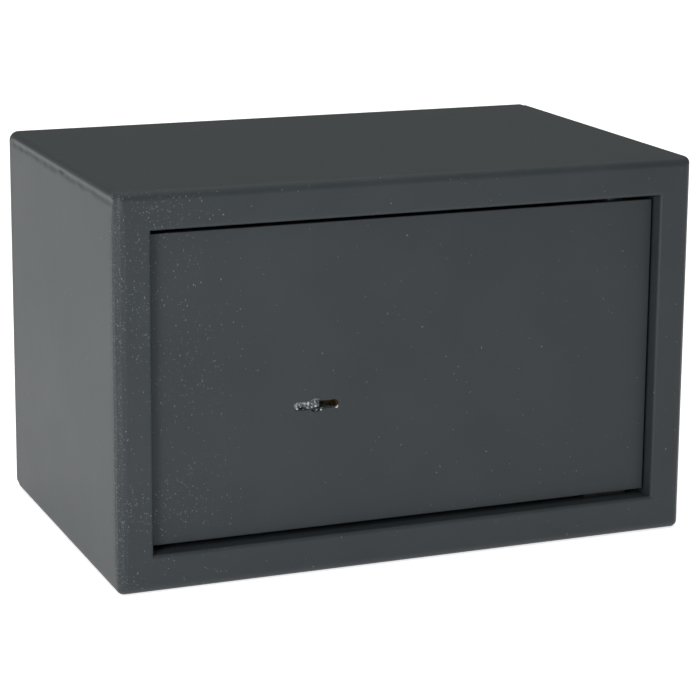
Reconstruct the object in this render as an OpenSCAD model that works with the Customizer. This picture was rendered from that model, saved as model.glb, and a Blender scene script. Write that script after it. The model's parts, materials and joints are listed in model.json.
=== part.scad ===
// Key-locked security box with an insulated double wall, a recessed door on hidden pins,
// a lever lock and two locking bolts. Millimetres, +Z up, the front faces -Y.
// The origin is at the middle of the base.

/* [Cabinet] */
// Outside width of the cabinet
body_w = 310; // [300:1:380]
// Outside depth of the cabinet
body_d = 200; // [170:1:320]
// Outside height of the cabinet
body_h = 200; // [196:1:260]
// Thickness of the folded steel sheet of the shell, the jamb and the liner
sheet_t = 1.5; // [1.2:0.1:1.6]
// Radius of the bent outer edges
edge_r = 5; // [3:0.5:7]
// Width of the face frame at the sides
frame_w = 18; // [17:0.5:19]
// Height of the face frame at the top and the bottom
frame_h = 19.3; // [18.3:0.1:20.3]
// Depth of the jamb behind the face
jamb_d = 12; // [11:0.1:12]
// Radius of the bend between the face and the jamb
jamb_r = 1.8; // [1:0.1:2]

/* [Door] */
// Thickness of the door plate
door_t = 3; // [2.8:0.1:3]
// How far the door plate lies behind the face
door_recess = 7; // [6.5:0.1:7]
// Gap between the door plate and the jamb at the sides
side_gap = 1.5; // [1.4:0.1:2]
// Gap between the door plate and the jamb at the top and the bottom
end_gap = 2.8; // [2.6:0.1:4]
// Depth of the pan that covers the boltwork
pan_d = 34; // [33:1:40]
// Angle that the door is drawn open
door_angle = 0; // [0:1:110]

/* [Lock] */
// Keyhole from the middle of the door, to the right
key_x = -50; // [-54:1:-44]
// Height of the keyhole above the base
key_z = 85.4; // [80:0.2:95]
// Overall length of the keyhole
key_l = 24; // [22:0.5:24]
// Height of the keyhole's slot
key_h = 4; // [3:0.1:4]
// Diameter of the keyhole's round middle
key_d = 7; // [6:0.1:8]

/* [Bolts] */
// Diameter of a locking bolt
bolt_d = 16; // [14:0.5:16]
// Height of each bolt above or below the middle of the door
bolt_rise = 48; // [47:1:52]
// Distance of the crank pin from the rotor's axis
crank_r = 10; // [9:0.5:10]

/* [Mounts] */
// Diameter of the anchor holes
anchor_d = 10; // [8:0.5:12]
// Distance between the two anchor holes of a pair
anchor_gap = 150; // [100:5:200]
// Base anchors behind the middle of the base
base_anchor_y = 15; // [0:1:30]

/* [Hidden] */
$fn = 64;

// Cuts run past a face by this much
past = 1;
// Free space round a turning or sliding fit
fit = 0.05;
// Free space between faces that pass each other
slip = 0.2;

// Planes of the cabinet
front_y = -body_d / 2;
back_y = body_d / 2;
mid_z = body_h / 2;
open_w = body_w - 2 * frame_w;
open_h = body_h - 2 * frame_h;
open_z = frame_h;
liner_front = front_y + jamb_d;
board_t = 14.5;
liner_back = back_y - 2 * sheet_t - board_t;
seam_y = back_y - edge_r - 4;

// Planes of the door
door_w = open_w - 2 * side_gap;
door_h = open_h - 2 * end_gap;
door_z = open_z + end_gap;
door_front = front_y + door_recess;
door_back = door_front + door_t;
pan_t = 1.2;
pan_back = door_back + pan_d;
pan_left = -door_w / 2 + 4.5;
pan_right = open_w / 2 - 36;
pan_low = door_z + 4.3;
pan_high = door_z + door_h - 4.3;
seal_w = 2.5;
seal_d = 2.2;

// Hinge: the pins stand behind the door plate, out of sight
hinge_x = open_w / 2 - 22;
hinge_y = door_back + 4;
pin_r = 3;
block_l = 22;
block_w = 14;
block_d = 10;
bracket_t = 2;
bracket_w = 24;
bracket_d = 18;
bracket_y = hinge_y - pin_r - 1;

// Boltwork behind the door plate
bolt_r = bolt_d / 2;
bolt_y = door_back + 11;
bolt_zs = [mid_z - bolt_rise, mid_z + bolt_rise];
bolt_l = 31;
bolt_chamfer = 1;
bar_t = 4;
bar_w = 17;
bar_x = pan_left + bolt_l;
bar_reach = 8;
bolt_screw_r = 3;
bolt_screw_l = 17;
bolt_throw = crank_r * sqrt(2);
pocket_r = bolt_r + 2;
pocket_wall = 5;
hole_play = 0.6;
strike_t = 3;
strike_w = 22;
strike_over = 14;
guide_block_x = pan_left + 4;
guide_block_t = 10;
guide_wall = 4;
standoff_r = 4;
pan_screw_r = 2;
pan_screw_l = 11;

// Lock, counted back from the rear face of the door plate
skin_t = 1.2;
rotor_r = 9;
head_r = 13;
head_y = door_front + skin_t + slip / 2;
case_wall = 1.5;
case_x0 = key_x - 41.5;
case_x1 = key_x + 37.5;
case_z0 = key_z - 27.4;
case_z1 = key_z + 26.6;
case_in = door_back + case_wall;
cover_y = door_back + 9.5;
cover_back = cover_y + case_wall;
crank_y = cover_back + slip;
crank_t = 2;
square_t = 0.8;
sink_r = 6;
crank_screw_r = 2;
crank_screw_l = 5;
core_r = 2.75;
core_l = 7.5;
dome_r = 4;
plate_y = crank_y + crank_t + slip;
plate_t = 3;
post_inset = 4.2;
post_r = 3;
lock_screw_r = 1.5;
pivot_r = 2.5;
crank_pin_r = 3;
crank_swing = 45;
slot_play = 0.36;
stump_x = key_x - 18;
stump_r = 2.5;
lever_x = key_x + 28;
lever_t = 2;
lever_gap = 0.4;
lever_drop = 5;
lever_top = 16.5;
lever_tail = 8;
lever_head = 11.5;
window_r = 12.5;
plate_low = 19;
plate_high = 20;
guide_x = key_x + 17;
guide_z = key_z - 7.4;
guide_r = 3;

// Anchors
anchor_r = anchor_d / 2;
sleeve_r = anchor_r + 2;
anchor_xs = [-anchor_gap / 2, anchor_gap / 2];
mat_t = 2;
mat_y = hinge_y + 22.5;

steel_grey = "#42474a";
zinc_grey = "#b9bdc0";
liner_grey = "#565b5e";
board_white = "#d9d4c8";
brass_tone = "#b08d4a";
black_tone = "#202224";

// A box between two opposite corners
module block(low, high) {
    translate(low) cube(high - low);
}

// A round bar along X, Y or Z between two planes
module bar_along_x(r, x0, x1, y, z) {
    translate([x0, y, z]) rotate([0, 90, 0]) cylinder(r = r, h = x1 - x0);
}
module bar_along_y(r, y0, y1, x, z) {
    translate([x, y0, z]) rotate([-90, 0, 0]) cylinder(r = r, h = y1 - y0);
}
module bar_along_z(r, z0, z1, x, y) {
    translate([x, y, z0]) cylinder(r = r, h = z1 - z0);
}

// A flat outline drawn in X and Z, made thick from y0 to y1
module upright(y0, y1) {
    translate([0, y1, 0]) rotate([90, 0, 0]) linear_extrude(y1 - y0) children();
}

// A flat outline drawn in Y and Z, made thick from x0 to x1
module sideways(x0, x1) {
    translate([x0, 0, 0]) rotate([90, 0, 90]) linear_extrude(x1 - x0) children();
}

// A flat rectangle with round corners
module round_rect(low, high, r) {
    translate(low + [r, 0]) square(high - low - [2 * r, 0]);
    translate(low + [0, r]) square(high - low - [0, 2 * r]);
    for (x = [low.x + r, high.x - r], y = [low.y + r, high.y - r]) translate([x, y]) circle(r);
}

// A flat slot with round ends between two points on one line
module slot(a, b, r) {
    translate(a) circle(r);
    translate(b) circle(r);
    if (a.x == b.x) translate([a.x - r, a.y]) square([2 * r, b.y - a.y]);
    if (a.y == b.y) translate([a.x, a.y - r]) square([b.x - a.x, 2 * r]);
}

// A box with every edge and corner round
module soft_box(low, high, r) {
    block(low + [r, r, 0], high - [r, r, 0]);
    block(low + [r, 0, r], high - [r, 0, r]);
    block(low + [0, r, r], high - [0, r, r]);
    xs = [low.x + r, high.x - r];
    ys = [low.y + r, high.y - r];
    zs = [low.z + r, high.z - r];
    for (y = ys, z = zs) bar_along_x(r, xs[0], xs[1], y, z);
    for (x = xs, z = zs) bar_along_y(r, ys[0], ys[1], x, z);
    for (x = xs, y = ys) bar_along_z(r, zs[0], zs[1], x, y);
    for (x = xs, y = ys, z = zs) translate([x, y, z]) sphere(r);
}

module outer_volume() {
    soft_box([-body_w / 2, front_y, 0], [body_w / 2, back_y, body_h], edge_r);
}
module wall_volume() {
    s = sheet_t;
    soft_box([s - body_w / 2, front_y + s, s], [body_w / 2 - s, back_y - s, body_h - s], edge_r - s);
}

// Half of the flat outline of the doorway, wider towards the face by the bend's radius
module doorway_half(w) {
    difference() {
        translate([0, front_y - past]) square([w + jamb_r, past + jamb_r]);
        translate([w + jamb_r, front_y + jamb_r]) circle(jamb_r);
    }
    translate([0, front_y - past]) square([w, past + jamb_d + past]);
}
module doorway_outline(w) {
    doorway_half(w);
    mirror([1, 0]) doorway_half(w);
}
module doorway() {
    intersection() {
        linear_extrude(body_h) doorway_outline(open_w / 2);
        translate([0, 0, mid_z]) sideways(-body_w / 2, body_w / 2)
            rotate(-90) mirror([1, 0]) doorway_outline(open_h / 2);
    }
}

// The box inside the wall: the doorway's section, grown by t, between two planes
module bay(y0, y1, t) {
    block([-open_w / 2 - t, y0, open_z - t], [open_w / 2 + t, y1, open_z + open_h + t]);
}

// Holes for the anchors, larger than the anchor by extra
module rear_anchor_holes(y0, y1, extra) {
    for (x = anchor_xs) bar_along_y(anchor_r + extra, y0, y1, x, mid_z);
}
module base_anchor_holes(z0, z1, extra) {
    for (x = anchor_xs) bar_along_z(anchor_r + extra, z0, z1, x, base_anchor_y);
}

module outer_shell() {
    color(steel_grey) difference() {
        intersection() {
            outer_volume();
            block([-body_w, front_y - past, -past], [body_w, seam_y, body_h + past]);
        }
        difference() {
            wall_volume();
            difference() {
                bay(front_y, liner_front, sheet_t);
                bay(front_y - past, liner_front + past, 0);
            }
        }
        doorway();
        base_anchor_holes(-past, sheet_t + past, 0);
    }
}

module back_panel() {
    color(steel_grey) difference() {
        intersection() {
            outer_volume();
            block([-body_w, seam_y, -past], [body_w, back_y + past, body_h + past]);
        }
        wall_volume();
        rear_anchor_holes(seam_y, back_y + past, 0);
    }
}

module inner_liner() {
    color(liner_grey) difference() {
        bay(liner_front, liner_back + sheet_t, sheet_t);
        bay(liner_front - past, liner_back, 0);
        rear_anchor_holes(liner_back - past, liner_back + sheet_t + past, 0);
        base_anchor_holes(0, open_z + past, 0);
        for (z = bolt_zs) bar_along_x(bolt_r + hole_play, -body_w / 2, -open_w / 2 + past, bolt_y, z);
    }
}

// A board that fills the space between the shell and the bay
module board(low, high) {
    color(board_white) intersection() {
        wall_volume();
        block(low, high);
    }
}

side_x = open_w / 2 + sheet_t;
floor_z = open_z - sheet_t;
roof_z = open_z + open_h + sheet_t;

module insulation_left() {
    difference() {
        board([-body_w, -body_d, 0], [-side_x, body_d, body_h]);
        strike_block(0);
        for (z = bolt_zs) bar_along_x(pocket_r, -body_w / 2 + pocket_wall, -side_x, bolt_y, z);
    }
}
module insulation_right() {
    board([side_x, -body_d, 0], [body_w, body_d, body_h]);
}
module insulation_top() {
    board([-side_x, -body_d, roof_z], [side_x, body_d, body_h]);
}
module insulation_base() {
    difference() {
        board([-side_x, -body_d, 0], [side_x, body_d, floor_z]);
        base_anchor_holes(0, floor_z + past, 2);
    }
}
module insulation_back() {
    difference() {
        board([-side_x, liner_back + sheet_t, floor_z], [side_x, back_y, roof_z]);
        rear_anchor_holes(liner_back, back_y, 2);
    }
}

// Reinforcing plate on the outside of the liner, where the bolts go through
module strike_block(r) {
    difference() {
        block([-side_x - strike_t, bolt_y - strike_w / 2, bolt_zs[0] - strike_over],
            [-side_x, bolt_y + strike_w / 2, bolt_zs[1] + strike_over]);
        if (r > 0) for (z = bolt_zs) bar_along_x(r, -body_w / 2, 0, bolt_y, z);
    }
}
module strike_plate() {
    color(zinc_grey) strike_block(bolt_r + 0.4);
}

module rear_anchor_sleeves() {
    color(zinc_grey) difference() {
        rear_anchor_holes(liner_back + sheet_t, back_y - sheet_t, sleeve_r - anchor_r);
        rear_anchor_holes(liner_back, back_y, 0);
    }
}
module base_anchor_sleeves() {
    color(zinc_grey) difference() {
        base_anchor_holes(sheet_t, floor_z, sleeve_r - anchor_r);
        base_anchor_holes(0, open_z, 0);
    }
}

// What stands at the bottom end of the door, and the same at the top end
module both_ends() {
    children();
    translate([0, 0, body_h]) mirror([0, 0, 1]) children();
}

module hinge_brackets() {
    color(black_tone) both_ends() difference() {
        block([hinge_x - bracket_w / 2, bracket_y, open_z],
            [hinge_x + bracket_w / 2, bracket_y + bracket_d, open_z + bracket_t]);
        bar_along_z(pin_r, open_z - past, open_z + bracket_t + past, hinge_x, hinge_y);
    }
}
module hinge_pins() {
    color(zinc_grey) both_ends()
        bar_along_z(pin_r, open_z, door_z + block_l - pin_r, hinge_x, hinge_y);
}
module hinge_washers() {
    color(black_tone) both_ends() difference() {
        bar_along_z(pin_r + 1, open_z + bracket_t, door_z, hinge_x, hinge_y);
        bar_along_z(pin_r + fit, open_z, door_z + past, hinge_x, hinge_y);
    }
}

module floor_mat() {
    color("#2b2c2e") difference() {
        block([-open_w / 2 + 2, mat_y, open_z], [open_w / 2 - 2, liner_back - 1.5, open_z + mat_t]);
        base_anchor_holes(0, body_h / 2, 3);
    }
}

// The keyhole: a slot with a round middle
module keyhole_outline() {
    translate([key_x, key_z]) {
        slot([-(key_l - key_h) / 2, 0], [(key_l - key_h) / 2, 0], key_h / 2);
        circle(key_d / 2);
    }
}

module door_plate() {
    color(steel_grey) difference() {
        block([-door_w / 2, door_front, door_z], [door_w / 2, door_back, door_z + door_h]);
        upright(door_front - past, door_back) keyhole_outline();
        bar_along_y(head_r + 0.2, door_front + skin_t, door_back + past, key_x, key_z);
    }
}

module door_pan() {
    color(liner_grey) difference() {
        block([pan_left, door_back, pan_low], [pan_right, pan_back, pan_high]);
        block([pan_left + pan_t, door_back - past, pan_low + pan_t],
            [pan_right - pan_t, pan_back - pan_t, pan_high - pan_t]);
        for (z = bolt_zs)
            bar_along_x(bolt_r + hole_play, pan_left - past, pan_left + pan_t + past, bolt_y, z);
        at_standoffs() bar_along_y(pan_screw_r + slip, pan_back - pan_t - past, pan_back + past, 0, 0);
    }
}

// The four places where the pan is screwed down
module at_standoffs() {
    for (x = [pan_left + 11, pan_right - 9], z = [pan_low + 7, pan_high - 7]) translate([x, 0, z]) children();
}
module pan_standoffs() {
    color(zinc_grey) at_standoffs() difference() {
        bar_along_y(standoff_r, door_back, pan_back - pan_t, 0, 0);
        bar_along_y(pan_screw_r, pan_back - pan_t - pan_screw_l - 1, pan_back, 0, 0);
    }
}

// A screw along +Y with its head at the rear; its tip is at y = 0
module screw(r, l, head_r, head_h) {
    bar_along_y(r, 0, l, 0, 0);
    difference() {
        bar_along_y(head_r, l, l + head_h, 0, 0);
        for (turn = [0, 90]) rotate([0, turn, 0])
            block([-head_r * 0.6, l + head_h * 0.4, -head_r * 0.12],
                [head_r * 0.6, l + head_h + past, head_r * 0.12]);
    }
}
module pan_screws() {
    color(zinc_grey) at_standoffs() translate([0, pan_back - pan_screw_l, 0])
        screw(pan_screw_r, pan_screw_l, 2 * pan_screw_r, 2.2);
}

module door_insulation() {
    color(board_white) difference() {
        block([pan_left + pan_t, bolt_y + 9.5, pan_low + pan_t],
            [pan_right - pan_t, pan_back - pan_t, pan_high - pan_t]);
        at_standoffs() bar_along_y(standoff_r, door_back, pan_back, 0, 0);
    }
}

module fire_seal() {
    w = seal_w;
    color("#8a3b2c") difference() {
        block([pan_left - w, door_back, pan_low - w], [pan_right + w, door_back + seal_d, pan_high + w]);
        block([pan_left, door_back - past, pan_low], [pan_right, door_back + seal_d + past, pan_high]);
    }
}

module hinge_blocks() {
    color(zinc_grey) both_ends() difference() {
        block([hinge_x - block_w / 2, door_back, door_z],
            [hinge_x + block_w / 2, door_back + block_d, door_z + block_l]);
        bar_along_z(pin_r + fit, door_z - past, door_z + block_l + past, hinge_x, hinge_y);
    }
}

module bolt_guides() {
    color(zinc_grey) for (z = bolt_zs) difference() {
        block([guide_block_x, door_back, z - bolt_r - guide_wall],
            [guide_block_x + guide_block_t, bolt_y + bolt_r + 1, z + bolt_r + guide_wall]);
        bar_along_x(bolt_r + fit, pan_left, pan_left + 20, bolt_y, z);
    }
}

module guide_post() {
    color(zinc_grey) {
        bar_along_y(guide_r, cover_back, plate_y + plate_t + slip, guide_x, guide_z);
        bar_along_y(guide_r + 2, plate_y + plate_t + slip, plate_y + plate_t + 1.8, guide_x, guide_z);
    }
}

// The four screw posts of the lock
module at_lock_posts() {
    xs = [case_x0 + post_inset, case_x1 - post_inset];
    zs = [case_z0 + post_inset, case_z1 - post_inset];
    for (x = xs, z = zs) translate([x, 0, z]) children();
}

module lock_case() {
    color(zinc_grey) {
        difference() {
            block([case_x0, door_back, case_z0], [case_x1, cover_y, case_z1]);
            block([case_x0 + case_wall, case_in, case_z0 + case_wall],
                [case_x1 - case_wall, cover_y + past, case_z1 - case_wall]);
            bar_along_y(rotor_r + fit, door_back - past, case_in + past, key_x, key_z);
            // The key's bit passes here
            block([key_x, door_back - past, key_z - key_h / 2],
                [key_x + head_r, case_in + past, key_z + key_h / 2]);
        }
        at_lock_posts() difference() {
            bar_along_y(post_r, case_in, cover_y, 0, 0);
            bar_along_y(lock_screw_r, case_in, cover_y + past, 0, 0);
        }
    }
}

module lock_cover() {
    color(zinc_grey) difference() {
        block([case_x0, cover_y, case_z0], [case_x1, cover_back, case_z1]);
        bar_along_y(rotor_r + fit, cover_y - past, cover_back + past, key_x, key_z);
        at_lock_posts() bar_along_y(lock_screw_r + slip, cover_y - past, cover_back + past, 0, 0);
        upright(cover_y - past, cover_back + past)
            slot([stump_x - bolt_throw, key_z], [stump_x, key_z], stump_r + 0.4);
    }
}
module lock_screws() {
    screw_l = cover_back - case_in - 1;
    color(brass_tone) at_lock_posts() translate([0, case_in + 1, 0])
        screw(lock_screw_r, screw_l, 2 * lock_screw_r, 1.8);
}

module lever_post() {
    color(zinc_grey) bar_along_y(pivot_r, case_in, cover_y, lever_x, key_z);
}

// The rotor's square end, which the crank sits on
module crank_square() {
    block([key_x - 4, crank_y - past, key_z - 4], [key_x + 4, crank_y + square_t, key_z + 4]);
}

// The rotor: a head behind the door plate's skin, a body through the lock and a square end for the crank
module lock_rotor() {
    color(zinc_grey) difference() {
        union() {
            bar_along_y(head_r, head_y, door_back - fit, key_x, key_z);
            bar_along_y(rotor_r, head_y, crank_y, key_x, key_z);
            crank_square();
        }
        block([key_x, head_y - past, key_z - key_h / 2],
            [key_x + head_r + past, cover_y - 0.5, key_z + key_h / 2]);
        bar_along_y(core_r, head_y - past, head_y + core_l, key_x, key_z);
        bar_along_y(crank_screw_r, crank_y - crank_screw_l, crank_y + past, key_x, key_z);
    }
}

// A hardened pin that stops a drill, with a domed end
module core_pin() {
    dome_y = door_front + 1;
    color(zinc_grey) intersection() {
        bar_along_y(core_r, dome_y, head_y + core_l, key_x, key_z);
        union() {
            translate([key_x, dome_y + dome_r, key_z]) sphere(dome_r);
            bar_along_y(dome_r, dome_y + dome_r, cover_y, key_x, key_z);
        }
    }
}

module at_crank_pin() {
    translate([key_x + crank_r * sin(crank_swing), 0, key_z + crank_r * cos(crank_swing)]) children();
}
module rotor_crank() {
    color(zinc_grey) {
        difference() {
            bar_along_y(head_r + 0.5, crank_y, crank_y + crank_t, key_x, key_z);
            crank_square();
            bar_along_y(sink_r, crank_y + square_t, crank_y + crank_t + past, key_x, key_z);
        }
        at_crank_pin() bar_along_y(crank_pin_r, crank_y + crank_t, plate_y + plate_t + 0.8, 0, 0);
    }
}
module crank_screw() {
    color(brass_tone) {
        bar_along_y(crank_screw_r, crank_y - crank_screw_l, crank_y + square_t, key_x, key_z);
        bar_along_y(sink_r - slip / 2, crank_y + square_t, crank_y + crank_t, key_x, key_z);
    }
}

// The foot of a leaf spring, set into the top of its lever
module leaf_foot() {
    translate([key_x - 3, key_z + lever_top - 2]) square([6, 2.5]);
}

// One lever: a window for the rotor, a gate with a pocket at each end for the stump, and a pivot hole
module lever_outline() {
    drop = (lever_x - stump_x + bolt_throw) * sin(lever_drop) + 0.6;
    r = stump_r + 0.4;
    difference() {
        union() {
            translate([key_x, key_z]) circle(lever_top);
            round_rect([stump_x - bolt_throw - 6, key_z - lever_head], [key_x, key_z + lever_head], 2);
            round_rect([key_x, key_z - lever_tail], [lever_x + 7, key_z + lever_tail], 6);
        }
        leaf_foot();
        translate([key_x, key_z]) circle(window_r);
        translate([lever_x, key_z]) circle(pivot_r + fit);
        slot([stump_x - bolt_throw, key_z], [stump_x, key_z], r);
        for (x = [stump_x - bolt_throw, stump_x]) slot([x, key_z], [x, key_z + drop], r);
    }
}
module lever(place) {
    y = case_in + lever_gap + place * (lever_t + lever_gap);
    color(brass_tone) upright(y, y + lever_t) lever_outline();
}
module front_lever() { lever(0); }
module middle_lever() { lever(1); }
module rear_lever() { lever(2); }

// A bent leaf on each lever that presses it down from the roof of the lock
module leaf_outline() {
    steps = 12;
    leaf_t = 0.5;
    span = 28;
    x0 = key_x - 2;
    xs = [for (i = [0:steps]) x0 - span * i / steps];
    zs = [for (i = [0:steps]) key_z + lever_top + 7.2 * pow(i / steps, 1.6)];
    low = [for (i = [0:steps]) [xs[i], zs[i]]];
    high = [for (i = [steps:-1:0]) [xs[i], zs[i] + leaf_t]];
    polygon(concat(low, high));
    leaf_foot();
}
module lever_springs() {
    leaf_w = 1.6;
    color(brass_tone) for (place = [0:2]) {
        y = case_in + lever_gap + place * (lever_t + lever_gap) + (lever_t - leaf_w) / 2;
        upright(y, y + leaf_w) leaf_outline();
    }
}

// The upright bar that carries the bolts, with the plate that the crank drives
module bolt_bar() {
    color(zinc_grey) {
        difference() {
            block([bar_x, bolt_y - bar_w / 2, bolt_zs[0] - bar_reach],
                [bar_x + bar_t, bolt_y + bar_w / 2, bolt_zs[1] + bar_reach]);
            for (z = bolt_zs) bar_along_x(bolt_screw_r, bar_x - past, bar_x + bar_t + past, bolt_y, z);
        }
        upright(plate_y, plate_y + plate_t) difference() {
            union() {
                round_rect([bar_x, key_z - plate_low], [guide_x + 22, key_z + plate_high], 4);
                translate([bar_x + bar_t, key_z - plate_low]) square([8, plate_low + plate_high]);
            }
            translate([bar_x - past, key_z - plate_low - past])
                square([bar_t + past, plate_low + plate_high + 2 * past]);
            slot_r = crank_pin_r + slot_play;
            pin = [key_x + crank_r * sin(crank_swing), key_z + crank_r * cos(crank_swing)];
            slot(pin, [pin.x, key_z + crank_r], slot_r);
            slot([guide_x, guide_z], [guide_x + bolt_throw, guide_z], guide_r + 0.1);
            translate([stump_x, key_z]) circle(stump_r);
        }
    }
}

module locking_bolts() {
    color(zinc_grey) for (z = bolt_zs) translate([pan_left, bolt_y, z]) rotate([0, 90, 0]) difference() {
        rotate_extrude() polygon([[0, 0], [bolt_r - bolt_chamfer, 0], [bolt_r, bolt_chamfer],
            [bolt_r, bolt_l], [0, bolt_l]]);
        translate([0, 0, bolt_l - bolt_screw_l + 3]) cylinder(r = bolt_screw_r, h = bolt_screw_l);
    }
}
module bolt_screws() {
    color(brass_tone) for (z = bolt_zs) {
        translate([bar_x + bar_t - bolt_screw_l, bolt_y, z]) rotate([0, 0, -90])
            screw(bolt_screw_r, bolt_screw_l, 5, 4);
    }
}
module bolt_stump() {
    color(zinc_grey) bar_along_y(stump_r, case_in + lever_gap, plate_y + plate_t, stump_x, key_z);
}

// The door body turns about the hinge pins
module hung(angle) {
    translate([hinge_x, hinge_y, 0]) rotate(angle) translate([-hinge_x, -hinge_y, 0]) children();
}

outer_shell();
back_panel();
inner_liner();
insulation_left();
insulation_right();
insulation_top();
insulation_base();
insulation_back();
strike_plate();
rear_anchor_sleeves();
base_anchor_sleeves();
hinge_brackets();
hinge_pins();
hinge_washers();
floor_mat();
hung(door_angle) door_plate();
hung(door_angle) door_pan();
hung(door_angle) door_insulation();
hung(door_angle) fire_seal();
hung(door_angle) hinge_blocks();
hung(door_angle) pan_standoffs();
hung(door_angle) pan_screws();
hung(door_angle) bolt_guides();
hung(door_angle) guide_post();
hung(door_angle) lock_case();
hung(door_angle) lock_cover();
hung(door_angle) lock_screws();
hung(door_angle) lever_post();
hung(door_angle) lock_rotor();
hung(door_angle) core_pin();
hung(door_angle) rotor_crank();
hung(door_angle) crank_screw();
hung(door_angle) front_lever();
hung(door_angle) middle_lever();
hung(door_angle) rear_lever();
hung(door_angle) lever_springs();
hung(door_angle) bolt_bar();
hung(door_angle) locking_bolts();
hung(door_angle) bolt_screws();
hung(door_angle) bolt_stump();
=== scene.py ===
import json
import math

import bmesh
import bpy
from mathutils import Matrix, Vector, noise


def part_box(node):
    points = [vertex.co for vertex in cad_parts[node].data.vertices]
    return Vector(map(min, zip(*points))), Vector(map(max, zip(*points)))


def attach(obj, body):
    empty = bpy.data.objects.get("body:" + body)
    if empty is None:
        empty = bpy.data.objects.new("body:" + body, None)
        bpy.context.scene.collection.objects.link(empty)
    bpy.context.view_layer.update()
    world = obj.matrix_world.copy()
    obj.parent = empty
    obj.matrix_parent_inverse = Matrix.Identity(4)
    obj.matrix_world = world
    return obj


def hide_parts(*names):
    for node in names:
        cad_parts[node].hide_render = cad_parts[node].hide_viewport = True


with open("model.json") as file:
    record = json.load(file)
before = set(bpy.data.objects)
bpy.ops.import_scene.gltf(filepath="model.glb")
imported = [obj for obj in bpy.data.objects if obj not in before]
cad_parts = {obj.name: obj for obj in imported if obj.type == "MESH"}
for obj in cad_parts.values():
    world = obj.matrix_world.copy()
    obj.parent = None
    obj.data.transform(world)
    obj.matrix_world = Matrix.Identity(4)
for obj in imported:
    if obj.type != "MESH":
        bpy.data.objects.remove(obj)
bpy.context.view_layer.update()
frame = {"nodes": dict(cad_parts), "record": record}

MM = 0.001

# Driving dimensions of the box, in mm. The front faces -Y, and the origin is at the middle of the base.
HALF_W, HALF_D, HEIGHT = 155.0, 100.0, 200.0
FACE_Y = -HALF_D
DOOR_FACE = -93.0
WALL = 1.5
EDGE_R = 5.0
LONG_EDGE_R = 3.6
DOORWAY_LOW, DOORWAY_HIGH = (-137.0, 19.3), (137.0, 180.7)
DOORWAY_CORNER = 0.3
JAMB_BACK = -88.0
JAMB_R = 1.8
ANCHOR_XS = (-75.0, 75.0)
ANCHOR_R = 5.0
REAR_ANCHOR_Z = 100.0
BASE_ANCHOR_Y = 15.0
BOLT_ZS = (52.0, 148.0)
BOLT_Y = -79.0
BOLT_HOLE_R = 8.6
MAT_HOLE_R = 8.0
KEYHOLE_X, KEYHOLE_Z = -50.0, 85.4
ROTOR_FACE = -91.7

# Grains in the paint lie on the front only, in mm, and their pale tips are painted glints.
# They thin out from the left, where the light grazes the front, and crowd on the bent left edge, where its
# highlight falls.
GLINT_GRAIN_LEFT, GLINT_GRAIN_RIGHT = -158.0, -84.0
BEND_GLINT_START, BEND_GLINT_FULL = -150.0, -152.5
FRONT_GLINT_START, FRONT_GLINT_FULL = -91.5, -92.5
STRAY_GLINT_GRAINS = 0.012


# ---------------------------------------------------------------- small helpers

def linear(hex_colour):
    """A colour written as sRGB hex, as the linear values that a shader takes."""
    parts = [int(hex_colour[i:i + 2], 16) / 255 for i in (1, 3, 5)]
    return [p / 12.92 if p <= 0.04045 else ((p + 0.055) / 1.055) ** 2.4 for p in parts] + [1.0]


def add(tree, kind, inputs=None, **settings):
    """Adds a node. An input that is a socket is linked, and any other is set."""
    made = tree.nodes.new("ShaderNode" + kind)
    for name, value in settings.items():
        setattr(made, name, value)
    for name, value in (inputs or {}).items():
        if isinstance(value, bpy.types.NodeSocket):
            tree.links.new(value, made.inputs[name])
        else:
            made.inputs[name].default_value = value
    return made


def start_material(name, **surface):
    """A material with one Principled shader, and the place on the piece in metres."""
    made = bpy.data.materials.new(name)
    made.use_nodes = True
    tree = made.node_tree
    tree.nodes.clear()
    inputs = {key.replace("_", " "): value for key, value in surface.items()}
    shader = add(tree, "BsdfPrincipled", inputs)
    add(tree, "OutputMaterial", {"Surface": shader.outputs["BSDF"]})
    place = add(tree, "TexCoord").outputs["Object"]
    return made, tree, shader, place


def per(mm):
    """The scale of a pattern that repeats about every so many millimetres."""
    return 1 / (mm * MM)


def ramp(tree, factor, stops):
    """A colour ramp from (position, hex colour) stops."""
    made = add(tree, "ValToRGB", {"Fac": factor})
    points = made.color_ramp.elements
    while len(points) < len(stops):
        points.new(0.5)
    for point, (at, hex_colour) in zip(points, stops):
        point.position = at
        point.color = linear(hex_colour)
    return made.outputs["Color"]


# ---------------------------------------------------------------- materials

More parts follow.
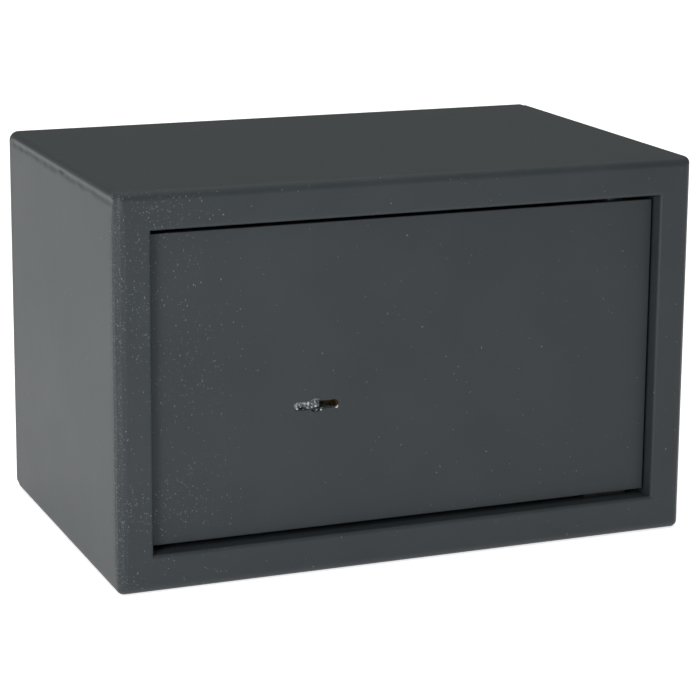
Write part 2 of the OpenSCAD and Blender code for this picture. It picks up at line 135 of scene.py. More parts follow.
def powder_coated_steel(name="charcoal_powder_coat", glint_spots=()):
    """Polyester powder sprayed and baked: a satin charcoal skin with orange peel and stray raised grains
    whose pale tips are painted glints.
    Each spot given is a place and a radius, in mm, where the paint gives way to bright bare steel: a painted
    highlight that stands in for a glint."""
    made, tree, shader, place = start_material(name, IOR=1.5, Specular_IOR_Level=0.24)
    cloud = add(tree, "TexNoise", {"Vector": place, "Scale": per(45), "Detail": 3.0})
    skin = ramp(tree, cloud.outputs["Fac"], [(0.3, "#2b3033"), (0.7, "#2f3437")])
    gloss = add(tree, "MapRange", {"Value": cloud.outputs["Fac"], "To Min": 0.42, "To Max": 0.5})
    peel = add(tree, "TexNoise", {"Vector": place, "Scale": per(1.7), "Detail": 2.0, "Roughness": 0.45})
    patch = add(tree, "TexNoise", {"Vector": place, "Scale": per(30), "Detail": 2.0})
    where = add(tree, "SeparateXYZ", {"Vector": place})
    # Painted glint spread: the grains, and the pale tips painted on them, keep to the front, thin out from
    # the left where the light grazes it, and crowd on the left bend where its highlight falls
    front = add(tree, "MapRange", {
        "Value": where.outputs["Y"], "From Min": FRONT_GLINT_START * MM, "From Max": FRONT_GLINT_FULL * MM})
    left_glint_fade = add(tree, "MapRange", {
        "Value": where.outputs["X"], "From Min": GLINT_GRAIN_LEFT * MM, "From Max": GLINT_GRAIN_RIGHT * MM,
        "To Min": 0.66, "To Max": 0.0})
    bend = add(tree, "MapRange", {
        "Value": where.outputs["X"], "From Min": BEND_GLINT_START * MM, "From Max": BEND_GLINT_FULL * MM, "To Max": 0.9})
    patchy = add(tree, "MapRange", {"Value": patch.outputs["Fac"], "From Min": 0.38, "From Max": 0.6,
                                    "To Min": 0.15, "To Max": 1.0})
    glinting_grain_mask = add(tree, "Math", {0: left_glint_fade.outputs[0], 1: patchy.outputs[0]}, operation="MULTIPLY")
    glinting_grain_mask = add(tree, "Math", {0: glinting_grain_mask.outputs[0], 1: bend.outputs[0]}, operation="ADD")
    glinting_grain_mask = add(tree, "Math", {0: glinting_grain_mask.outputs[0], 1: front.outputs[0]}, operation="MULTIPLY")
    grain_and_glint_share = add(tree, "Math", {0: glinting_grain_mask.outputs[0], 1: STRAY_GLINT_GRAINS}, operation="ADD")
    # The place is shaken before it is cut into cells, so that the grains are uneven and in no rows
    shake = add(tree, "TexNoise", {"Vector": place, "Scale": per(1.1), "Detail": 1.0})
    shaken = add(tree, "VectorMath", {0: shake.outputs["Color"], 1: (1.6 * MM, 1.6 * MM, 2.2 * MM), 2: place},
                 operation="MULTIPLY_ADD")
    grain = add(tree, "TexVoronoi", {"Vector": shaken.outputs[0], "Scale": per(1.0), "Randomness": 1.0})
    pick = add(tree, "SeparateColor", {"Color": grain.outputs["Color"]})
    chosen = add(tree, "Math", {0: pick.outputs["Red"], 1: grain_and_glint_share.outputs[0]}, operation="LESS_THAN")
    dome = add(tree, "MapRange", {"Value": grain.outputs["Distance"], "From Min": 0.05, "From Max": 0.4,
                                  "To Min": 1.0, "To Max": 0.0}, interpolation_type="SMOOTHSTEP")
    pimple = add(tree, "Math", {0: dome.outputs[0], 1: chosen.outputs[0]}, operation="MULTIPLY")
    # Painted glints: the tip of each chosen grain is mixed toward pale grey, a highlight drawn into the
    # colour
    painted_glint_strength = add(tree, "MapRange", {"Value": pick.outputs["Green"], "To Min": 0.1, "To Max": 0.95})
    painted_glint = add(tree, "Math", {0: pimple.outputs[0], 1: painted_glint_strength.outputs[0]}, operation="MULTIPLY")
    skin_with_painted_glints = add(tree, "Mix", {"Factor": painted_glint.outputs[0]}, data_type="RGBA")
    tree.links.new(skin, skin_with_painted_glints.inputs["A"])
    skin_with_painted_glints.inputs["B"].default_value = linear("#848b8e")
    colour = skin_with_painted_glints.outputs["Result"]
    soft = add(tree, "Bump", {"Height": peel.outputs["Fac"], "Strength": 0.5, "Distance": 0.12 * MM})
    bump = add(tree, "Bump", {"Height": pimple.outputs[0], "Strength": 0.8, "Distance": 0.3 * MM,
                              "Normal": soft.outputs["Normal"]})
    tree.links.new(bump.outputs["Normal"], shader.inputs["Normal"])
    # Painted highlights: within each spot the paint gives way to bright bare steel, set where the keyhole rim
    # glints
    glint_steel_mask = None
    for spot, radius in glint_spots:
        away = add(tree, "VectorMath", {0: place, 1: [v * MM for v in spot]}, operation="DISTANCE")
        glint_spot_mask = add(tree, "MapRange", {
            "Value": away.outputs["Value"], "From Min": radius * MM, "From Max": 0.6 * radius * MM},
            interpolation_type="SMOOTHSTEP").outputs[0]
        if glint_steel_mask is not None:
            glint_spot_mask = add(tree, "Math", {0: glint_steel_mask, 1: glint_spot_mask}, operation="MAXIMUM").outputs[0]
        glint_steel_mask = glint_spot_mask
    if glint_steel_mask is None:
        tree.links.new(colour, shader.inputs["Base Color"])
        tree.links.new(gloss.outputs[0], shader.inputs["Roughness"])
        return made
    steel = add(tree, "Mix", {"Factor": glint_steel_mask}, data_type="RGBA")
    tree.links.new(colour, steel.inputs["A"])
    steel.inputs["B"].default_value = linear("#d8dadb")
    tree.links.new(steel.outputs["Result"], shader.inputs["Base Color"])
    tree.links.new(glint_steel_mask, shader.inputs["Metallic"])
    tree.links.new(gloss.outputs[0], shader.inputs["Roughness"])
    return made


def die_cast_zinc():
    """Zinc run into a steel die: a dull grey metal, lumpy where it cooled, with dark pits."""
    made, tree, shader, place = start_material("die_cast_zinc", Metallic=1.0, Roughness=0.45)
    lump = add(tree, "TexNoise", {"Vector": place, "Scale": per(1.6), "Detail": 4.0, "Roughness": 0.6})
    colour = ramp(tree, lump.outputs["Fac"], [(0.35, "#5d6163"), (0.6, "#94989a")])
    tree.links.new(colour, shader.inputs["Base Color"])
    bump = add(tree, "Bump", {"Height": lump.outputs["Fac"], "Strength": 0.9, "Distance": 0.35 * MM})
    tree.links.new(bump.outputs["Normal"], shader.inputs["Normal"])
    return made


def zinc_plated_steel():
    """Steel plated with zinc and passivated: bright blue-white, with a faint straw tint in patches."""
    made, tree, shader, place = start_material("zinc_plated_steel", Metallic=1.0)
    patch = add(tree, "TexNoise", {"Vector": place, "Scale": per(14), "Detail": 3.0})
    colour = ramp(tree, patch.outputs["Fac"], [(0.35, "#aeb4ba"), (0.55, "#c3c6c8"), (0.75, "#c8c3b2")])
    tree.links.new(colour, shader.inputs["Base Color"])
    rough = add(tree, "MapRange", {"Value": patch.outputs["Fac"], "To Min": 0.26, "To Max": 0.42})
    tree.links.new(rough.outputs[0], shader.inputs["Roughness"])
    skin = add(tree, "TexNoise", {"Vector": place, "Scale": per(0.8), "Detail": 2.0})
    bump = add(tree, "Bump", {"Height": skin.outputs["Fac"], "Strength": 0.15, "Distance": 0.03 * MM})
    tree.links.new(bump.outputs["Normal"], shader.inputs["Normal"])
    return made


def turned_steel():
    """Bright steel turned on a lathe: fine rings round the bar that stretch its highlights."""
    made, tree, shader, place = start_material("turned_bright_steel", Metallic=1.0, Roughness=0.24)
    wave = add(tree, "TexNoise", {"Vector": place, "Scale": per(2.5), "Detail": 3.0})
    colour = ramp(tree, wave.outputs["Fac"], [(0.3, "#a5a8aa"), (0.7, "#c9cbcc")])
    tree.links.new(colour, shader.inputs["Base Color"])
    rings = add(tree, "TexWave", {"Vector": place, "Scale": per(9), "Distortion": 0.4}, bands_direction="X")
    bump = add(tree, "Bump", {"Height": rings.outputs["Fac"], "Strength": 0.12, "Distance": 0.03 * MM})
    tree.links.new(bump.outputs["Normal"], shader.inputs["Normal"])
    return made


def rolled_brass():
    """Brass rolled to sheet and stamped: warm yellow with a brushed grain and brown tarnish in patches."""
    made, tree, shader, place = start_material("rolled_brass", Metallic=1.0, Roughness=0.3)
    tarnish = add(tree, "TexNoise", {"Vector": place, "Scale": per(6), "Detail": 4.0})
    colour = ramp(tree, tarnish.outputs["Fac"], [(0.3, "#8d6f35"), (0.6, "#c9a45a")])
    tree.links.new(colour, shader.inputs["Base Color"])
    bump = add(tree, "Bump", {"Height": tarnish.outputs["Fac"], "Strength": 0.1, "Distance": 0.05 * MM})
    tree.links.new(bump.outputs["Normal"], shader.inputs["Normal"])
    return made


def silicate_board():
    """Calcium silicate pressed to board: chalky off-white with open pores and no gloss."""
    made, tree, shader, place = start_material("pressed_silicate_board", Roughness=0.95)
    cloud = add(tree, "TexNoise", {"Vector": place, "Scale": per(9), "Detail": 5.0})
    colour = ramp(tree, cloud.outputs["Fac"], [(0.3, "#c9c4b7"), (0.7, "#dedace")])
    tree.links.new(colour, shader.inputs["Base Color"])
    pores = add(tree, "TexVoronoi", {"Vector": place, "Scale": per(1.4)})
    bump = add(tree, "Bump", {"Height": pores.outputs["Distance"], "Strength": 0.4, "Distance": 0.2 * MM})
    tree.links.new(bump.outputs["Normal"], shader.inputs["Normal"])
    return made


def graphite_seal():
    """Expanding graphite extruded to strip: dull brown-black rubber with fine flakes."""
    made, tree, shader, place = start_material("extruded_graphite_seal", Roughness=0.7)
    flake = add(tree, "TexNoise", {"Vector": place, "Scale": per(0.9), "Detail": 3.0})
    colour = ramp(tree, flake.outputs["Fac"], [(0.35, "#2e2321"), (0.7, "#4a302a")])
    tree.links.new(colour, shader.inputs["Base Color"])
    bump = add(tree, "Bump", {"Height": flake.outputs["Fac"], "Strength": 0.3, "Distance": 0.1 * MM})
    tree.links.new(bump.outputs["Normal"], shader.inputs["Normal"])
    return made


def needled_felt():
    """Polyester fibres needled to felt: a matt charcoal pile with paler stray fibres and a soft sheen."""
    made, tree, shader, place = start_material(
        "needled_felt", Roughness=1.0, Sheen_Weight=0.35, Sheen_Roughness=0.5)
    fibre = add(tree, "TexNoise", {"Vector": place, "Scale": per(0.7), "Detail": 6.0, "Distortion": 2.5})
    colour = ramp(tree, fibre.outputs["Fac"], [(0.3, "#1d1e20"), (0.55, "#2b2d30"), (0.75, "#47494c")])
    tree.links.new(colour, shader.inputs["Base Color"])
    bump = add(tree, "Bump", {"Height": fibre.outputs["Fac"], "Strength": 0.7, "Distance": 0.35 * MM})
    tree.links.new(bump.outputs["Normal"], shader.inputs["Normal"])
    return made


def moulded_acetal():
    """Acetal moulded to rings: a black, waxy plastic with a faint flow mottle."""
    made, tree, shader, place = start_material("moulded_black_acetal", Roughness=0.4, IOR=1.48)
    flow = add(tree, "TexNoise", {"Vector": place, "Scale": per(2), "Detail": 2.0})
    colour = ramp(tree, flow.outputs["Fac"], [(0.3, "#141517"), (0.7, "#1d1f21")])
    tree.links.new(colour, shader.inputs["Base Color"])
    bump = add(tree, "Bump", {"Height": flow.outputs["Fac"], "Strength": 0.2, "Distance": 0.05 * MM})
    tree.links.new(bump.outputs["Normal"], shader.inputs["Normal"])
    return made


def blackened_steel():
    """Steel blacked in a hot oxide bath and oiled: a deep brown-black with a low sheen. It is painted shade
    on the hinge brackets, made this dark so that they read as the shaded gap beside the door.
    """
    made, tree, shader, place = start_material("blackened_steel", Roughness=0.5, Specular_IOR_Level=0.3)
    bloom = add(tree, "TexNoise", {"Vector": place, "Scale": per(5), "Detail": 3.0})
    colour = ramp(tree, bloom.outputs["Fac"], [(0.3, "#121314"), (0.7, "#1b1b1b")])
    tree.links.new(colour, shader.inputs["Base Color"])
    bump = add(tree, "Bump", {"Height": bloom.outputs["Fac"], "Strength": 0.15, "Distance": 0.05 * MM})
    tree.links.new(bump.outputs["Normal"], shader.inputs["Normal"])
    return made


def opal_light_table():
    """Opal acrylic lit softly from below: an even white with no hard shadow."""
    made, tree, shader, place = start_material("opal_acrylic_table", Roughness=0.9, Emission_Strength=0.64)
    shader.inputs["Emission Color"].default_value = linear("#ffffff")
    tooth = add(tree, "TexNoise", {"Vector": place, "Scale": per(3), "Detail": 2.0})
    colour = ramp(tree, tooth.outputs["Fac"], [(0.3, "#f2f2f2"), (0.7, "#f5f5f5")])
    tree.links.new(colour, shader.inputs["Base Color"])
    return made


PAINT = powder_coated_steel()
FINISHES = {
    "powder_coat": PAINT,
    "liner_paint": PAINT,
    "insulation_board": silicate_board(),
    "seal_strip": graphite_seal(),
    "felt_mat": needled_felt(),
    "black_acetal": moulded_acetal(),
    # Painted shade: the hinge brackets take this near-black finish so that they read as the shaded gap at the
    # hinge side
    "blackened_steel": blackened_steel(),
    "brass_plate": rolled_brass(),
    "zinc_casting": die_cast_zinc(),
    "bright_steel": turned_steel(),
    "zinc_plate": zinc_plated_steel(),
}
SLOT_OF = {sub["node"]: sub["material_slot"] for sub in frame["record"]["subparts"]}
BODY_OF = {node: body for body, nodes in frame["record"]["behaviour"]["bodies"].items() for node in nodes}


# ---------------------------------------------------------------- making pieces

def new_piece(name, form, *nodes, slot=None, sharp=32, weighted=True):
    """Turns a form in millimetres into a piece that stands for CAD nodes.
    It rides with the first of them, and has that node's finish unless a slot is given."""
    bmesh.ops.scale(form, vec=(MM, MM, MM), verts=form.verts)
    bmesh.ops.recalc_face_normals(form, faces=form.faces)
    mesh = bpy.data.meshes.new(name)
    form.to_mesh(mesh)
    form.free()
    mesh.shade_smooth()
    mesh.set_sharp_from_angle(angle=math.radians(sharp))
    piece = bpy.data.objects.new(name, mesh)
    bpy.context.scene.collection.objects.link(piece)
    if weighted:
        piece.modifiers.new("flat_faces_stay_flat", "WEIGHTED_NORMAL").keep_sharp = True
    slot = slot or SLOT_OF[nodes[0]]
    mesh.materials.append(FINISHES[slot])
    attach(piece, BODY_OF[nodes[0]])
    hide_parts(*nodes)
    return piece


def form_of(node):
    """The welded shape of a CAD node, in millimetres, with its flat faces whole."""
    mesh = frame["nodes"][node].data
    form = bmesh.new()
    verts = [form.verts.new(v.co / MM) for v in mesh.vertices]
    for poly in mesh.polygons:
        form.faces.new([verts[i] for i in poly.vertices])
    bmesh.ops.remove_doubles(form, verts=form.verts, dist=0.001)
    bmesh.ops.dissolve_limit(form, angle_limit=math.radians(0.3), verts=form.verts, edges=form.edges)
    return form


def with_modifier(form, kind, tool=None, **settings):
    """The form after one modifier, worked out at once."""
    temporary = []
    for shape in (form, tool):
        if shape is not None:
            mesh = bpy.data.meshes.new("temporary")
            shape.to_mesh(mesh)
            shape.free()
            temporary.append(bpy.data.objects.new("temporary", mesh))
            bpy.context.scene.collection.objects.link(temporary[-1])
    modifier = temporary[0].modifiers.new("work", kind)
    if tool is not None:
        modifier.object = temporary[1]
    for key, value in settings.items():
        setattr(modifier, key, value)
    done = bmesh.new()
    done.from_object(temporary[0], bpy.context.evaluated_depsgraph_get())
    for shape in temporary:
        bpy.data.meshes.remove(shape.data)
    return done


def drilled(form, bars):
    """The form with round holes. A bar is its start, its end and its radius."""
    tool = bmesh.new()
    for start, end, radius in bars:
        start, end = Vector(start), Vector(end)
        turn = (end - start).to_track_quat("Z", "Y").to_matrix().to_4x4()
        bmesh.ops.create_cone(tool, cap_ends=True, segments=48, radius1=radius, radius2=radius,
                              depth=(end - start).length, matrix=Matrix.Translation((start + end) / 2) @ turn)
    return with_modifier(form, "BOOLEAN", tool, operation="DIFFERENCE", solver="EXACT")


def box_mm(node):
    """The low corner and then the high corner of a CAD node's box, as six numbers in millimetres."""
    low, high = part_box(node)
    return [v / MM for v in (*low, *high)]


def eased(node, width, steps=2):
    """A CAD node's form with its edges rolled over, as on sheared, cast or painted metal."""
    form = form_of(node)
    edges = [e for e in form.edges if e.is_manifold and e.calc_face_angle(0) > math.radians(35)]
    bmesh.ops.bevel(form, geom=edges, offset=width, segments=steps, profile=0.5, affect="EDGES",
                    clamp_overlap=True)
    return form


def arc(centre, radius, start, end, steps):
    """Points along an arc in a flat section, from one angle to another in degrees."""
    angles = [math.radians(start + (end - start) * i / steps) for i in range(steps + 1)]
    return [(centre[0] + radius * math.cos(a), centre[1] + radius * math.sin(a)) for a in angles]


def stops(length, count):
    """Places along a straight run: close together at both ends, and even between."""
    near = [1.2, 2.4, 3.6, 4.8, 6.0, 8.0, 11.0]
    far = length - near[-1]
    return (near + [near[-1] + (far - near[-1]) * i / count for i in range(1, count)]
            + [length - n for n in reversed(near)])


def ring(low, high, radius, y, corner_steps=10, counts=(16, 24)):
    """Points round an upright rectangle with round corners, at the depth y.
    They run anticlockwise from the lower right."""
    radius = max(radius, 0.02)
    middles = [(high[0] - radius, low[1] + radius), (high[0] - radius, high[1] - radius),
               (low[0] + radius, high[1] - radius), (low[0] + radius, low[1] + radius)]
    corners = [arc(middle, radius, 90 * k - 90, 90 * k, corner_steps) for k, middle in enumerate(middles)]
    points = []
    for k, corner in enumerate(corners):
        points += corner
        start, end = Vector(corner[-1]), Vector(corners[(k + 1) % 4][0])
        run = (end - start).length
        points += [start + (end - start) * s / run for s in stops(run, counts[k % 2])]
    return [Vector((p[0], y, p[1])) for p in points]


def lofted(rings, closed=False):
    """A skin through rings of points.
    A closed one joins its last ring to its first, and an open one is capped."""
    form = bmesh.new()
    rows = [[form.verts.new(p) for p in points] for points in rings]
    joins = list(zip(rows, rows[1:])) + ([(rows[-1], rows[0])] if closed else [])
    for one, two in joins:
        for i in range(len(one)):
            j = (i + 1) % len(one)
            form.faces.new((one[i], one[j], two[j], two[i]))
    if not closed:
        form.faces.new(rows[0])
        form.faces.new(rows[-1])
    return form


def smooth_step(low, high, value):
    """Eases from 0 at the low value to 1 at the high one."""
    t = min(max((value - low) / (high - low), 0), 1)
    return t * t * (3 - 2 * t)


def rough(x, y=0.0, z=0.0):
    """Smooth noise from 0 to 1."""
    return 0.5 + 0.5 * noise.noise(Vector((x, y, z)))


# ---------------------------------------------------------------- cabinet

def doorway_ring(outset, y, radius, **density):
    """A ring that follows the doorway, so far outside it."""
    low = (DOORWAY_LOW[0] - outset, DOORWAY_LOW[1] - outset)
    high = (DOORWAY_HIGH[0] + outset, DOORWAY_HIGH[1] + outset)
    return ring(low, high, radius, y, **density)


def dress_wall(point, face):
    """What bending, welding and grinding leave on the flat folded walls: always a little inward, in mm."""
    x, y, z = point
    out_x = abs(x) - HALF_W
    # The ground weld: a shallow band under the top edge of each side
    if out_x > -1.5 and z > 150:
        weld = 191.3 + 2.6 * rough(y / 11, x, 3.1) + 1.4 * rough(y / 3.7, x, 8.4)
        depth = smooth_step(weld, weld + 1.0, z) * (1 - smooth_step(195.4, 196.8, z))
        ends = smooth_step(-99, -93, y) * (1 - smooth_step(84, 91, y))
        sunk = ends * depth * (0.28 + 0.4 * rough(y / 4.3, x, 1.7))
        point.x -= math.copysign(sunk, x)
    # The bend: ripples and one crease along the upright front edges
    if out_x > -4.9 and y < -93.4 and 8 < z < 192:
        along = math.atan2(FACE_Y + EDGE_R - y, abs(x) - (HALF_W - EDGE_R))
        wander = 0.9 * rough(z / 37, x, 5.0) + 0.35 * rough(z / 6, x, 2.0)
        fade = smooth_step(8, 16, z) * (1 - smooth_step(184, 192, z))
        ripple = 0.5 + 0.5 * math.cos(11.5 * along + 5 * wander)
        crease = 1 - smooth_step(0.0, 0.13, abs(along - 0.02))
        sunk = fade * (0.2 * ripple * (0.4 + rough(z / 14, x, 9.0)) + 0.3 * crease)
        point -= face * sunk
    return point


def folded_shell():
    """One sheet bent to a wrap with a face frame and a jamb.
    It has rolled bends, a pulled crease and a ground weld."""
    def outside(inset, y, radius):
        low, high = (inset - HALF_W, inset), (HALF_W - inset, HEIGHT - inset)
        return ring(low, high, radius * LONG_EDGE_R / EDGE_R, y)

    def doorway(outset, y):
        return doorway_ring(outset, y, DOORWAY_CORNER + outset)

    bend_y, seam_y, mid_z = FACE_Y + EDGE_R, 91.0, HEIGHT / 2
    flat_x, flat_z = HALF_W - EDGE_R, mid_z - EDGE_R
    jamb = [doorway(0, y) for y in (JAMB_BACK, -91, -94, -97)]
    jamb += [doorway(e, y) for e, y in arc((JAMB_R, FACE_Y + JAMB_R), JAMB_R, 180, 270, 8)]
    edge = []
    for inset, y in arc((EDGE_R, bend_y), EDGE_R, 270, 180, 26):
        points = outside(inset, y, EDGE_R - inset)
        for p in points:
            spread = Vector((max(abs(p.x) - flat_x, 0) * math.copysign(1, p.x), p.y - bend_y,
                             max(abs(p.z - mid_z) - flat_z, 0) * math.copysign(1, p.z - mid_z)))
            dress_wall(p, spread.normalized())
        edge.append(points)
    face = [[a.lerp(b, t) for a, b in zip(jamb[-1], edge[0])] for t in (0.06, 0.28, 0.5, 0.72, 0.94)]
    walls = []
    for y in [-94.7, -94.3, -93.8, -92.5] + [seam_y - 2.5 * i for i in range(72, -1, -1)]:
        points = outside(0, y, EDGE_R)
        for p in points:
            dress_wall(p, Vector((math.copysign(1, p.x), 0, 0)))
        walls.append(points)
    inside = [outside(WALL, seam_y, EDGE_R - WALL)]
    inner_bend = arc((EDGE_R, bend_y), EDGE_R - WALL, 180, 270, 5)
    inside += [outside(inset, y, EDGE_R - inset) for inset, y in inner_bend]
    inside += [doorway(e, y) for e, y in arc((JAMB_R, FACE_Y + JAMB_R), JAMB_R - WALL, 270, 180, 2)]
    inside.append(doorway(WALL, JAMB_BACK))
    form = lofted(jamb + face + edge + walls + inside, closed=True)
    form = drilled(form, [((x, BASE_ANCHOR_Y, -1), (x, BASE_ANCHOR_Y, 4), ANCHOR_R) for x in ANCHOR_XS])
    new_piece("folded_shell", form, "outer_shell")


def liner_tray():
    """The inner tray: bent from one sheet with small rolled corners.
    It is drilled for the bolts and the anchors."""
    back, bend = 84.0, 2.5

    def wall(outset, y, radius):
        return doorway_ring(outset, y, radius, corner_steps=5, counts=(8, 12))

    inner = [wall(0, y, 1.0) for y in (JAMB_BACK, -60, -20, 20, 60)]
    inner += [wall(-i, y, 1.0) for i, y in arc((bend, back - WALL - bend), bend, 180, 90, 6)]
    outer = [wall(WALL, y, 2.0) for y in (JAMB_BACK, -20, 60)]
    outer += [wall(WALL - i, y, 2.0) for i, y in arc((bend, back - bend), bend, 180, 90, 6)]
    form = lofted(list(reversed(inner)) + outer)
    bars = [((-145, BOLT_Y, z), (-130, BOLT_Y, z), BOLT_HOLE_R) for z in BOLT_ZS]
    bars += [((x, 78, REAR_ANCHOR_Z), (x, 90, REAR_ANCHOR_Z), ANCHOR_R) for x in ANCHOR_XS]
    bars += [((x, BASE_ANCHOR_Y, 15), (x, BASE_ANCHOR_Y, 24), ANCHOR_R) for x in ANCHOR_XS]
    new_piece("liner_tray", drilled(form, bars), "inner_liner")


def felt_mat():
    """A cut sheet of needled felt with punched holes, laid on the tray floor and not quite flat."""
    x0, y0, z0, x1, y1, z1 = box_mm("floor_mat")
    across, along = 90, 48
    form = bmesh.new()
    layers = []
    for top in (0, 1):
        rows = []
        for j in range(along + 1):
            row = []
            for i in range(across + 1):
                x, y = x0 + (x1 - x0) * i / across, y0 + (y1 - y0) * j / along
                edge = min(x - x0, x1 - x, y - y0, y1 - y)
                pile = 0.62 + 0.3 * rough(x / 9, y / 9, 4.0)
                thick = (z1 - z0) * pile * (0.55 + 0.45 * smooth_step(0, 1.5, edge))
                lift = 0.25 * rough(x / 45, y / 45, 7.0)
                row.append(form.verts.new((x, y, z0 + 0.02 + lift + thick * top)))
            rows.append(row)
        layers.append(rows)
    for rows in layers:
        for j in range(along):
            for i in range(across):
                form.faces.new((rows[j][i], rows[j][i + 1], rows[j + 1][i + 1], rows[j + 1][i]))
    lower, upper = layers
    rim = ([(0, i) for i in range(across)] + [(j, across) for j in range(along)]
           + [(along, i) for i in range(across, 0, -1)] + [(j, 0) for j in range(along, 0, -1)])
    for (a, b), (c, d) in zip(rim, rim[1:] + rim[:1]):
        form.faces.new((lower[a][b], lower[c][d], upper[c][d], upper[a][b]))
    punches = [((x, BASE_ANCHOR_Y, z0 - 3), (x, BASE_ANCHOR_Y, z1 + 3), MAT_HOLE_R) for x in ANCHOR_XS]
    form = drilled(form, punches)
    mat = new_piece("felt_mat", form, "floor_mat", sharp=50)


# ---------------------------------------------------------------- door and lock

def door_leaf():
    """The plasma-cut door plate: edges rounded by the paint.
    It has bright bare-steel spots at the keyhole rim: painted highlights that stand in for its glints."""
    leaf = new_piece("door_leaf", eased("door_plate", 0.55, 3), "door_plate")
    # Painted highlights: two small spots of bright bare steel on the keyhole rim stand in for its glints
    keyhole_glint_spots = [((KEYHOLE_X + 10.9, DOOR_FACE + 0.4, KEYHOLE_Z - 1.6), 1.1),
            ((KEYHOLE_X + 2.6, DOOR_FACE + 0.1, KEYHOLE_Z - 2.6), 0.5)]
    leaf.data.materials[0] = powder_coated_steel("charcoal_powder_coat_glint_spots", keyhole_glint_spots)


def cast_skin(form, grain):
    """A rough casting: edges melted round, and lumps and hollows sunk below the true face."""
    form = with_modifier(form, "REMESH", mode="VOXEL", voxel_size=grain)
    form.normal_update()
    for v in form.verts:
        x, y, z = v.co
        front = 1 - smooth_step(ROTOR_FACE + 0.6, ROTOR_FACE + 1.6, y)
        lump = rough(x / 1.5, y / 1.5, z / 1.5) * 0.7 + rough(x / 0.7, y / 0.7, z / 0.7) * 0.3
        pit = 1 - smooth_step(0.4, 0.8, math.hypot((x - KEYHOLE_X + 6.6) / 1.5, z - KEYHOLE_Z + 1.5))
        v.co.y += front * (1.1 * smooth_step(0.3, 0.75, lump) + 2.2 * pit)
    return form


def door_cover():
    """The pan behind the door: folded from thin sheet, with a pressed panel.
    It is drilled for the bolts and the screws."""
    x0, y0, z0, x1, y1, z1 = box_mm("door_pan")
    wall, bend, panel_in, panel_up, panel_r, screw_r = 1.2, 3.0, 26.0, 1.3, 5.0, 2.2

    def pan(inset, y, radius):
        low, high = (x0 + inset, z0 + inset), (x1 - inset, z1 - inset)
        return ring(low, high, radius, y, corner_steps=8, counts=(8, 12))

    outer = [pan(0, y, 3.0) for y in (y0, y0 + 10, y1 - bend)]
    outer += [pan(i, y, 3.0) for i, y in arc((bend, y1 - bend), bend, 180, 90, 7)]
    panel = [(-3.2, 0), (-2.4, 0.12), (-0.9, panel_up - 0.12), (0, panel_up), (3, panel_up)]
    outer += [pan(panel_in + inset, y1 + up, panel_r) for inset, up in panel]
    inner = [pan(wall, y, 2.0) for y in (y0, y1 - bend)]
    inner += [pan(wall + i, y, 2.0) for i, y in arc((bend - wall, y1 - bend), bend - wall, 180, 90, 4)]
    form = lofted(list(reversed(outer)) + inner)
    bars = [((x0 - 4, BOLT_Y, z), (x0 + 6, BOLT_Y, z), BOLT_HOLE_R) for z in BOLT_ZS]
    bars += [((x, y1 - 3, z), (x, y1 + 3, z), screw_r) for x in (x0 + 11, x1 - 9) for z in (z0 + 7, z1 - 7)]
    new_piece("door_cover", drilled(form, bars), "door_pan")


def seal_ring():
    """The fire seal: an extruded strip with two lips, run round the cover."""
    x0, y0, z0, x1, y1, z1 = box_mm("fire_seal")
    section = [(0.1, y0), (0.0, y0 + 0.8), (0.15, y0 + 1.5), (0.55, y1), (1.0, y1 - 0.1), (1.25, y1 - 0.7),
               (1.5, y1 - 0.1), (1.95, y1), (2.35, y0 + 1.5), (2.5, y0 + 0.8), (2.5, y0)]
    rings = [ring((x0 + i, z0 + i), (x1 - i, z1 - i), 3.2 - i, y, corner_steps=6, counts=(4, 6))
             for i, y in section]
    new_piece("seal_ring", lofted(rings, closed=True), "fire_seal", sharp=60)


folded_shell()
liner_tray()
felt_mat()
door_leaf()
door_cover()
seal_ring()
new_piece("cast_rotor", cast_skin(form_of("lock_rotor"), 0.3), "lock_rotor", sharp=60, weighted=False)
new_piece("cast_core", cast_skin(form_of("core_pin"), 0.22), "core_pin", slot="zinc_casting", sharp=60,
          weighted=False)

# The width of each rolled edge, in mm: thick sheared plate, then thin plate, then turned and stamped parts
EASED = {
    "back_panel": 0.3, "strike_plate": 0.4, "hinge_brackets": 0.3, "hinge_blocks": 0.5, "bolt_guides": 0.5,
    "bolt_bar": 0.35, "lock_case": 0.3, "lock_cover": 0.25, "rotor_crank": 0.25, "front_lever": 0.15,
    "middle_lever": 0.15, "rear_lever": 0.15, "hinge_pins": 0.4, "pan_standoffs": 0.2, "pan_screws": 0.15,
    "lock_screws": 0.1, "bolt_screws": 0.25, "crank_screw": 0.15, "locking_bolts": 0.4, "lever_post": 0.2,
    "guide_post": 0.2, "bolt_stump": 0.2, "rear_anchor_sleeves": 0.2, "base_anchor_sleeves": 0.2,
    "insulation_left": 0.6, "insulation_right": 0.6, "insulation_top": 0.6, "insulation_base": 0.6,
    "insulation_back": 0.6, "door_insulation": 0.6, "hinge_washers": 0.12,
}
for node, width in EASED.items():
    new_piece("eased_" + node, eased(node, width), node)
frame["nodes"]["lever_springs"].data.materials[0] = FINISHES[SLOT_OF["lever_springs"]]


# ---------------------------------------------------------------- stage

FLOOR_SIZE = 40.0
BOX_MIDDLE = Vector((0, 0, 0.1))


def lay_floor():
    """A plain white table, wide enough to fill every view."""
    mesh = bpy.data.meshes.new("studio_floor")
    h = FLOOR_SIZE / 2
    mesh.from_pydata([(-h, -h, 0), (h, -h, 0), (h, h, 0), (-h, h, 0)], [], [(0, 1, 2, 3)])
    floor = bpy.data.objects.new("studio_floor", mesh)
    bpy.context.scene.collection.objects.link(floor)
    mesh.materials.append(opal_light_table())


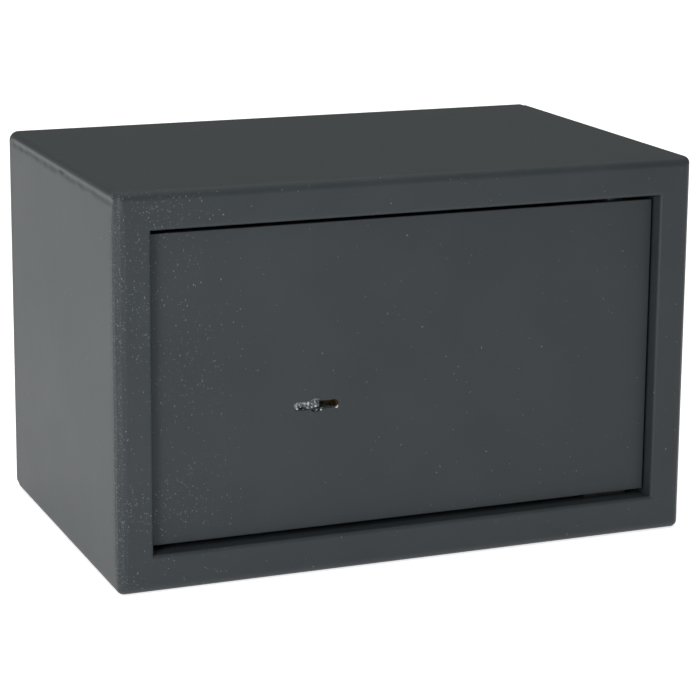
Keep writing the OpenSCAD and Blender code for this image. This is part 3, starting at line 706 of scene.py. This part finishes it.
def hang_light(name, place, width, height, power, hex_colour):
    """A soft box that faces the middle of the object."""
    light = bpy.data.lights.new(name, "AREA")
    light.shape = "RECTANGLE"
    light.size, light.size_y = width, height
    light.energy = power
    light.color = linear(hex_colour)[:3]
    lamp = bpy.data.objects.new(name, light)
    lamp.location = place
    lamp.rotation_euler = (BOX_MIDDLE - Vector(place)).to_track_quat("-Z", "Y").to_euler()
    bpy.context.scene.collection.objects.link(lamp)


def light_room():
    """A dim room that is lighter overhead, so that the paint mirrors a dark wall and a bright table."""
    world = bpy.data.worlds.new("studio_room")
    bpy.context.scene.world = world
    world.use_nodes = True
    tree = world.node_tree
    up = add(tree, "SeparateXYZ", {"Vector": add(tree, "TexCoord").outputs["Generated"]}).outputs["Z"]
    glow = add(tree, "MapRange", {
        "Value": up, "From Min": 0.25, "From Max": 0.95, "To Min": 0.2, "To Max": 0.62})
    tree.links.new(glow.outputs[0], tree.nodes["Background"].inputs["Strength"])
    tree.nodes["Background"].inputs["Color"].default_value = linear("#fbfffd")


def light_studio():
    """A weak box behind, a strip that grazes the front from the left, and a broad soft box overhead."""
    hang_light("softbox_back_left", (-1.5, 1.3, 0.9), 0.8, 0.8, 2, "#fbfdff")
    hang_light("strip_front_left", (-0.8, -0.8, 0.36), 0.3, 0.6, 7, "#ffffff")
    hang_light("overhead_softbox", (0.2, 0.4, 3.4), 4.0, 4.0, 45, "#fffffb")
    light_room()


def set_camera():
    """A long lens a step to the left of the box and a little above it."""
    turn, tilt, roll = -0.386, 0.218, 0.008
    aim = Vector((-5.234, -25.297, 1339.635)) * MM
    back = Vector((math.sin(turn) * math.cos(tilt), -math.cos(turn) * math.cos(tilt), math.sin(tilt)))
    right = (-back).cross(Vector((0, 0, 1))).normalized()
    up = right.cross(-back)
    right, up = (math.cos(roll) * right + math.sin(roll) * up, math.cos(roll) * up - math.sin(roll) * right)
    place = BOX_MIDDLE - aim.x * right - aim.y * up + aim.z * back
    data = bpy.data.cameras.new("camera")
    data.sensor_width = 36
    data.lens = 128.345
    data.shift_y = -0.1
    data.dof.use_dof = False
    camera = bpy.data.objects.new("camera", data)
    camera.matrix_world = Matrix((
        (right.x, up.x, back.x, place.x),
        (right.y, up.y, back.y, place.y),
        (right.z, up.z, back.z, place.z),
        (0, 0, 0, 1)))
    bpy.context.scene.collection.objects.link(camera)
    bpy.context.scene.camera = camera


lay_floor()
light_studio()
set_camera()
bpy.context.scene.view_settings.view_transform = "Standard"
